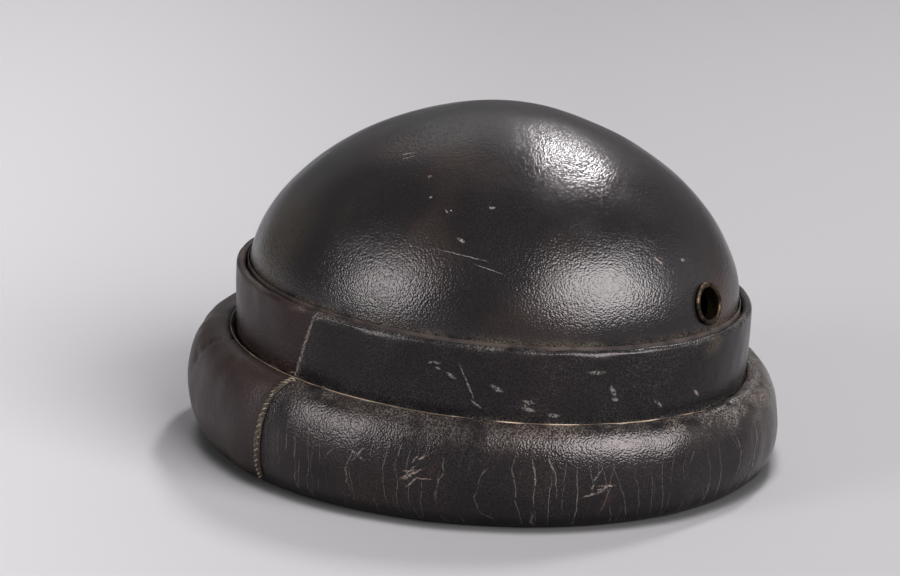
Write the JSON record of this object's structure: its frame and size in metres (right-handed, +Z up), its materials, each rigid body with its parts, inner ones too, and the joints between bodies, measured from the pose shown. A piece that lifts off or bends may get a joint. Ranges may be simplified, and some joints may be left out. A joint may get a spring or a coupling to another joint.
{
  "type": "leather tanker helmet",
  "caption": "Hard domed leather crown with a lapped leather band, a vent eyelet and a thick stuffed roll round its foot, open below for the head.",
  "frame": {"origin": "on the surface it rests on, under the middle of the whole helmet's box", "axes": "+Z up, -Y towards the front with the vent eyelet, +Y towards the rear, -X the side that the picture shows"},
  "size_m": [0.24, 0.2842, 0.158],
  "materials": {
    "crown_leather": "hard black grained leather, polished, with brown rubbed patches",
    "inner_ply_leather": "thin brown leather ply, dusty cut edge",
    "band_leather": "smooth black leather, worn edges and small chips",
    "cut_edge_leather": "raw tan cut edge, dusty",
    "roll_leather": "stuffed black leather, crazed and scuffed to tan",
    "seam_leather": "raised sewn lap with tan thread, worn",
    "eyelet_brass": "tarnished brass with a bright rubbed rim"
  },
  "bodies": {
    "root": {"crown": "crown_leather", "band_inner_ply": "inner_ply_leather", "band": "band_leather", "edge_welt": "cut_edge_leather", "roll": "roll_leather", "roll_seam": "seam_leather", "vent_eyelet": "eyelet_brass"}
  },
  "joints": []
}
